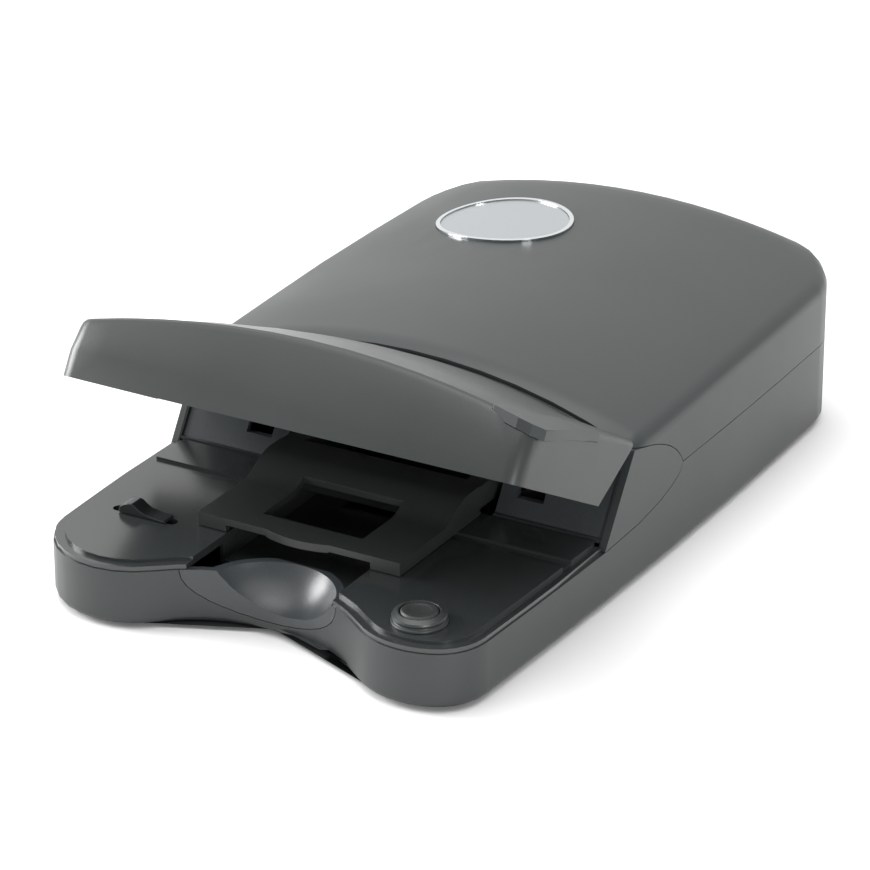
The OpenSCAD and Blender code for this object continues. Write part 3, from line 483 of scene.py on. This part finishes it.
# Ground steel rod: bright, with lines around it
GROUND_STEEL = WorkedMetal("steel_ground", "#b9bcc0", 0.22, Lay.AROUND_Y)
# Zinc-plated sheet: bluish grey and a little cloudy
ZINC_SHEET = WorkedMetal("steel_zinc_plated", "#9fa4a8", 0.38, Lay.ALONG_Y, line_mm=0.6)
# Sintered bronze: warm and grainy, as it is pressed from powder
SINTERED_BRONZE = WorkedMetal("bronze_sintered", "#b08a4e", 0.45, line_height_mm=0.01)
# Nickel-plated motor can, drawn and bright
MOTOR_CAN = WorkedMetal("steel_nickel_plated", "#a9abad", 0.3, Lay.AROUND_Y)
# Chrome-plated trim: a clear mirror with almost no texture
CHROME_TRIM = WorkedMetal("abs_chrome_plated", "#d5d8da", 0.08, line_height_mm=0.0)
# Silver lacquer on a pressed plate: satin, with hardly any relief
SILVER_PLATE = WorkedMetal(
    "aluminium_satin_lacquered", "#b4b8ba", 0.36, line_height_mm=0.001
)
# Silvered front of the fold mirror: a clear, almost white reflection
MIRROR_SILVER = WorkedMetal("glass_silvered_front", "#e4e6e8", 0.03, line_height_mm=0.0)
# Pressed and etched board: deep green, lighter over the copper
BOARD = BoardLaminate()
# Ground and polished lens glass: clear, with a sharp reflection
LENS_GLASS = OpticalGlass("glass_optical", "#eef4f6", 1.0)
# Drawn glass tube with phosphor inside: milky and soft
LAMP_GLASS = OpticalGlass("glass_phosphor_lined", "#eef1ee", 0.25, roughness=0.25)


def soft_edges() -> bpy.types.NodeTree:
    """Makes the node group that shades facets smooth between real edges.

    Returns:
        A geometry node group.
    """
    group = bpy.data.node_groups.new("smooth_between_edges", "GeometryNodeTree")
    for way in ("INPUT", "OUTPUT"):
        group.interface.new_socket(
            "Geometry", in_out=way, socket_type="NodeSocketGeometry"
        )
    source = add_node(group, "NodeGroupInput")
    joined = add_node(
        group,
        "GeometryNodeMergeByDistance",
        values={"Distance": WELD_MM * MM},
        links={"Geometry": source.outputs[0]},
    )
    smooth = add_node(
        group,
        "GeometryNodeSetShadeSmooth",
        settings={"domain": "FACE"},
        values={"Shade Smooth": True},
        links={"Geometry": joined.outputs[0]},
    )
    angle = add_node(group, "GeometryNodeInputMeshEdgeAngle")
    steep = add_node(
        group,
        "FunctionNodeCompare",
        settings={"data_type": "FLOAT", "operation": "GREATER_THAN"},
        values={"B": math.radians(HARD_EDGE_DEGREES)},
        links={"A": angle.outputs["Unsigned Angle"]},
    )
    sharp = add_node(
        group,
        "GeometryNodeSetShadeSmooth",
        settings={"domain": "EDGE"},
        values={"Shade Smooth": False},
        links={
            "Geometry": smooth.outputs[0],
            "Selection": steep.outputs["Result"],
        },
    )
    add_node(group, "NodeGroupOutput", links={0: sharp.outputs[0]})
    return group


@dataclass
class Workshop:
    """What every sub-assembly needs: the frame's nodes, finishes and smoothing.

    Attributes:
        nodes: The CAD nodes by name.
        smoothing: The node group that shades them.
        finished: The materials made so far, by name.
        rounding_segments: Faces across a rounded edge.
        rounding_degrees: Edges sharper than this are rounded.
    """

    nodes: dict[str, bpy.types.Object]
    smoothing: bpy.types.NodeTree = field(default_factory=soft_edges)
    finished: dict[str, bpy.types.Material] = field(default_factory=dict)
    rounding_segments: int = 2
    rounding_degrees: float = 40.0

    def finish(self, look: Finish) -> bpy.types.Material:
        """Returns a finish's material, made once."""
        if look.name not in self.finished:
            self.finished[look.name] = look.build()
        return self.finished[look.name]

    def dress(self, name: str, look: Finish, edge_mm: float = 0.0) -> None:
        """Gives a CAD node its finish, smooth shading and rounded edges.

        Args:
            name: The node.
            look: Its finish.
            edge_mm: Width of the rounding on its edges, or 0 for none.
        """
        piece = self.nodes[name]
        piece.data.materials.clear()
        piece.data.materials.append(self.finish(look))
        shading = piece.modifiers.new("smooth", "NODES")
        shading.node_group = self.smoothing
        if edge_mm:
            rounding = piece.modifiers.new("edges", "BEVEL")
            rounding.width = edge_mm * MM
            rounding.segments = self.rounding_segments
            rounding.limit_method = "ANGLE"
            rounding.angle_limit = math.radians(self.rounding_degrees)
            rounding.harden_normals = True
            rounding.use_clamp_overlap = True
        log.info("dressed %s in %s", name, look.name)


@dataclass
class Case:
    """Base, top cover, cheeks and the wall inside the lid."""

    shop: Workshop
    shell_edge_mm: float = 0.35
    panel_edge_mm: float = 0.3

    def dress(self) -> None:
        """Dresses the moulded shells."""
        self.shop.dress("base_case", CASE_SHELL, self.shell_edge_mm)
        self.shop.dress("top_cover", CASE_SHELL, self.shell_edge_mm)
        self.shop.dress("left_cheek", CASE_SHELL, self.panel_edge_mm)
        self.shop.dress("right_cheek", CASE_SHELL, self.panel_edge_mm)
        self.shop.dress("bay_frame", SCOOP_SKIN, self.panel_edge_mm)
        self.shop.dress("rubber_feet", FOOT_RUBBER, self.panel_edge_mm)
        self.shop.dress("case_screws", ZINC_SHEET)


@dataclass
class Deck:
    """The lobed front deck with its scoop, film channel and controls."""

    shop: Workshop
    panel_edge_mm: float = 0.25
    fine_edge_mm: float = 0.2
    lever_edge_mm: float = 0.3

    def dress(self) -> None:
        """Dresses the deck and what is set in it."""
        self.shop.dress("front_deck", DECK_SKIN, self.panel_edge_mm)
        self.shop.dress("finger_scoop", SCOOP_SKIN, self.panel_edge_mm)
        self.shop.dress("film_tray", CARRIAGE_SKIN, self.fine_edge_mm)
        self.shop.dress("scan_button", CARRIAGE_SKIN, self.fine_edge_mm)
        self.shop.dress("button_ring", CASE_SHELL, self.panel_edge_mm)
        self.shop.dress("slide_lever", NYLON_BLACK, self.lever_edge_mm)
        self.shop.dress("lever_clip", ZINC_SHEET)


@dataclass
class Lid:
    """The clamshell lid with its corner lip and hinge pins."""

    shop: Workshop
    lid_edge_mm: float = 0.4
    lip_edge_mm: float = 0.3

    def dress(self) -> None:
        """Dresses the lid."""
        self.shop.dress("front_lid", LID_SHELL, self.lid_edge_mm)
        self.shop.dress("lid_tab", CASE_SHELL, self.lip_edge_mm)
        self.shop.dress("hinge_pins", GROUND_STEEL)


@dataclass
class Carriage:
    """The film carriage and the drive that pulls it into the case."""

    shop: Workshop
    stage_edge_mm: float = 0.35
    metal_edge_mm: float = 0.3

    def dress(self) -> None:
        """Dresses the carriage, its bearings and its drive."""
        self.shop.dress("film_carriage", CARRIAGE_SKIN, self.stage_edge_mm)
        self.shop.dress("carriage_bushes", SINTERED_BRONZE)
        self.shop.dress("drive_nut", SINTERED_BRONZE)
        self.shop.dress("guide_rods", GROUND_STEEL, self.metal_edge_mm)
        self.shop.dress("lead_screw", GROUND_STEEL)
        self.shop.dress("screw_bearings", SINTERED_BRONZE)
        self.shop.dress("stepper_motor", MOTOR_CAN, self.metal_edge_mm)


@dataclass
class Optics:
    """Lamp, fold mirror, lens and sensor on the sheet chassis."""

    shop: Workshop
    block_edge_mm: float = 0.3
    thin_edge_mm: float = 0.2

    def dress(self) -> None:
        """Dresses the optical parts."""
        self.shop.dress("chassis", ZINC_SHEET, self.thin_edge_mm)
        self.shop.dress("chassis_screws", GROUND_STEEL)
        self.shop.dress("lamp_housing", REFLECTOR_WHITE, self.block_edge_mm)
        self.shop.dress("lamp_tube", LAMP_GLASS)
        self.shop.dress("lamp_caps", NYLON_BLACK)
        self.shop.dress("mirror_bracket", NYLON_BLACK, self.thin_edge_mm)
        self.shop.dress("fold_mirror", MIRROR_SILVER)
        self.shop.dress("lens_holder", NYLON_BLACK, self.block_edge_mm)
        self.shop.dress("lens_barrel", NYLON_BLACK, self.thin_edge_mm)
        self.shop.dress("lens_glass", LENS_GLASS)
        self.shop.dress("sensor_chip", CHIP_EPOXY)


@dataclass
class Electronics:
    """Circuit boards and the sockets at the rear."""

    shop: Workshop
    switch_edge_mm: float = 0.2

    def dress(self) -> None:
        """Dresses the boards, sockets and switch."""
        for board in ("inverter_board", "sensor_board", "main_board", "button_board"):
            self.shop.dress(board, BOARD)
        self.shop.dress("board_chips", CHIP_EPOXY)
        self.shop.dress("button_switch", CHIP_EPOXY)
        self.shop.dress("usb_socket", ZINC_SHEET)
        self.shop.dress("power_jack", NYLON_BLACK)
        self.shop.dress("switch_bezel", NYLON_BLACK, self.switch_edge_mm)
        self.shop.dress("power_switch", NYLON_BLACK, self.switch_edge_mm)


@dataclass
class Badge:
    """The oval badge on the cover, left bare."""

    shop: Workshop
    rim_edge_mm: float = 0.4

    def dress(self) -> None:
        """Dresses the badge."""
        self.shop.dress("badge_rim", CHROME_TRIM, self.rim_edge_mm)
        self.shop.dress("badge_plate", SILVER_PLATE)


def put_in_scene(name: str, data: bpy.types.ID) -> bpy.types.Object:
    """Makes an object of the set.

    Args:
        name: Its name.
        data: Its mesh, lamp or camera.

    Returns:
        The object, linked to the scene.
    """
    piece = bpy.data.objects.new(name, data)
    bpy.context.scene.collection.objects.link(piece)
    return piece


def point_at(piece: bpy.types.Object, place_at: Point, target: Point) -> None:
    """Puts an object in its place and turns it to a target.

    Args:
        piece: The lamp or camera, which looks along its own -Z.
        place_at: Where it stands.
        target: What it faces.
    """
    piece.location = place_at
    piece.rotation_mode = "QUATERNION"
    aim = Vector(target) - Vector(place_at)
    piece.rotation_quaternion = aim.to_track_quat("-Z", "Y")


@dataclass(frozen=True)
class SoftBox:
    """One square soft box that faces the scanner.

    Attributes:
        name: Its name.
        place_at: Where it stands.
        size: Its side, in metres.
        power: Its power, in watts.
    """

    name: str
    place_at: Point
    size: float
    power: float


@dataclass
class Studio:
    """Pale floor, soft light and the camera.

    Attributes:
        floor_size: Side of the floor, in metres.
        floor_tone: Its sRGB hex colour.
        floor_roughness: Its roughness.
        bright_side: Direction of the pale cyclorama, at the back left.
        dim_from: Cosine to that direction where the room is dimmest.
        bright_from: Cosine where it is brightest.
        glow: Strength of the surround on the bright side.
        dim: Its strength on the dim side.
        boxes: The soft boxes.
        ceiling: Strength of the ceiling light, in watts per square metre.
        ceiling_height: Height of its marker, in metres.
        ceiling_degrees: Angle over which it is spread.
        eye: The camera's place.
        target: The point that the camera and the soft boxes face.
        lens_mm: Focal length.
        sensor_mm: Width of the sensor.
        shift: Shift of the lens, in widths of the picture.
    """

    floor_size: float = 60.0
    floor_tone: str = "#f4f4f4"
    floor_roughness: float = 0.9
    bright_side: Point = (-0.55, 0.6, 0.58)
    dim_from: float = -0.3
    bright_from: float = 0.75
    glow: float = 1.1
    dim: float = 0.4
    boxes: tuple[SoftBox, ...] = (
        SoftBox("key", (-1.3, -0.35, 0.5), 0.6, 20.0),
        SoftBox("top", (-0.3, 0.1, 1.9), 1.2, 8.0),
        SoftBox("low", (0.9, -0.75, 0.25), 0.3, 5.0),
    )
    ceiling: float = 1.2
    ceiling_height: float = 2.0
    ceiling_degrees: float = 70.0
    eye: Point = (0.6048, -1.0615, 0.5812)
    target: Point = (0.0, -0.0095, 0.030)
    lens_mm: float = 161.75
    sensor_mm: float = 36.0
    shift: tuple[float, float] = (-0.0107, -0.0095)

    def lay_floor(self) -> None:
        """Makes the floor."""
        half = self.floor_size / 2
        mesh = bpy.data.meshes.new("floor")
        mesh.from_pydata(
            [(-half, -half, 0), (half, -half, 0), (half, half, 0), (-half, half, 0)],
            [],
            [(0, 1, 2, 3)],
        )
        floor = put_in_scene("floor", mesh)
        material, tree, surface = new_material("floor_paper_white")
        shader = add_node(
            tree,
            "ShaderNodeBsdfPrincipled",
            values={
                "Base Color": srgb(self.floor_tone),
                "Roughness": self.floor_roughness,
            },
        )
        tree.links.new(shader.outputs["BSDF"], surface)
        floor.data.materials.append(material)
        log.info("laid the floor")

    def light_surround(self) -> None:
        """Makes the surround, from a pale cyclorama to a dim room."""
        world = bpy.data.worlds.new("studio_surround")
        world.use_nodes = True
        tree = world.node_tree
        direction = add_node(tree, "ShaderNodeTexCoord").outputs["Generated"]
        facing = add_node(
            tree,
            "ShaderNodeVectorMath",
            settings={"operation": "DOT_PRODUCT"},
            values={1: self.bright_side},
            links={0: direction},
        )
        glow = add_node(
            tree,
            "ShaderNodeMapRange",
            settings={"interpolation_type": "SMOOTHSTEP"},
            values={
                "From Min": self.dim_from,
                "From Max": self.bright_from,
                "To Min": self.dim,
                "To Max": self.glow,
            },
            links={"Value": facing.outputs["Value"]},
        )
        surround = tree.nodes["Background"]
        surround.inputs["Color"].default_value = WHITE
        tree.links.new(glow.outputs["Result"], surround.inputs["Strength"])
        bpy.context.scene.world = world
        log.info("lit the surround")

    def hang_box(self, box: SoftBox) -> None:
        """Adds one soft box.

        Args:
            box: Its name, place, size and power.
        """
        lamp = bpy.data.lights.new(box.name, "AREA")
        lamp.shape = "SQUARE"
        lamp.size = box.size
        lamp.energy = box.power
        holder = put_in_scene(box.name, lamp)
        point_at(holder, box.place_at, self.target)
        log.info("hung the soft box %s", box.name)

    def light_ceiling(self) -> None:
        """Adds a broad even light from straight above."""
        lamp = bpy.data.lights.new("ceiling", "SUN")
        lamp.energy = self.ceiling
        lamp.angle = math.radians(self.ceiling_degrees)
        holder = put_in_scene("ceiling", lamp)
        holder.location = (0.0, 0.0, self.ceiling_height)
        log.info("lit the ceiling")

    def set_camera(self) -> None:
        """Places the camera and makes it the scene's own."""
        data = bpy.data.cameras.new("camera")
        data.lens = self.lens_mm
        data.sensor_width = self.sensor_mm
        data.shift_x, data.shift_y = self.shift
        camera = put_in_scene("camera", data)
        point_at(camera, self.eye, self.target)
        bpy.context.scene.camera = camera
        log.info("set the camera")

    def build(self) -> None:
        """Builds the whole set."""
        self.lay_floor()
        self.light_surround()
        for box in self.boxes:
            self.hang_box(box)
        self.light_ceiling()
        self.set_camera()


def main() -> None:
    """Dresses the scanner and sets the studio round it."""
    logging.basicConfig(level=logging.INFO)
    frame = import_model()
    bpy.context.scene.view_settings.view_transform = "Standard"
    shop = Workshop(frame["nodes"])
    for part in (Case, Deck, Lid, Carriage, Optics, Electronics, Badge):
        part(shop).dress()
        log.info("finished the %s", part.__name__.lower())
    Studio().build()


if __name__ == "__main__":
    main()
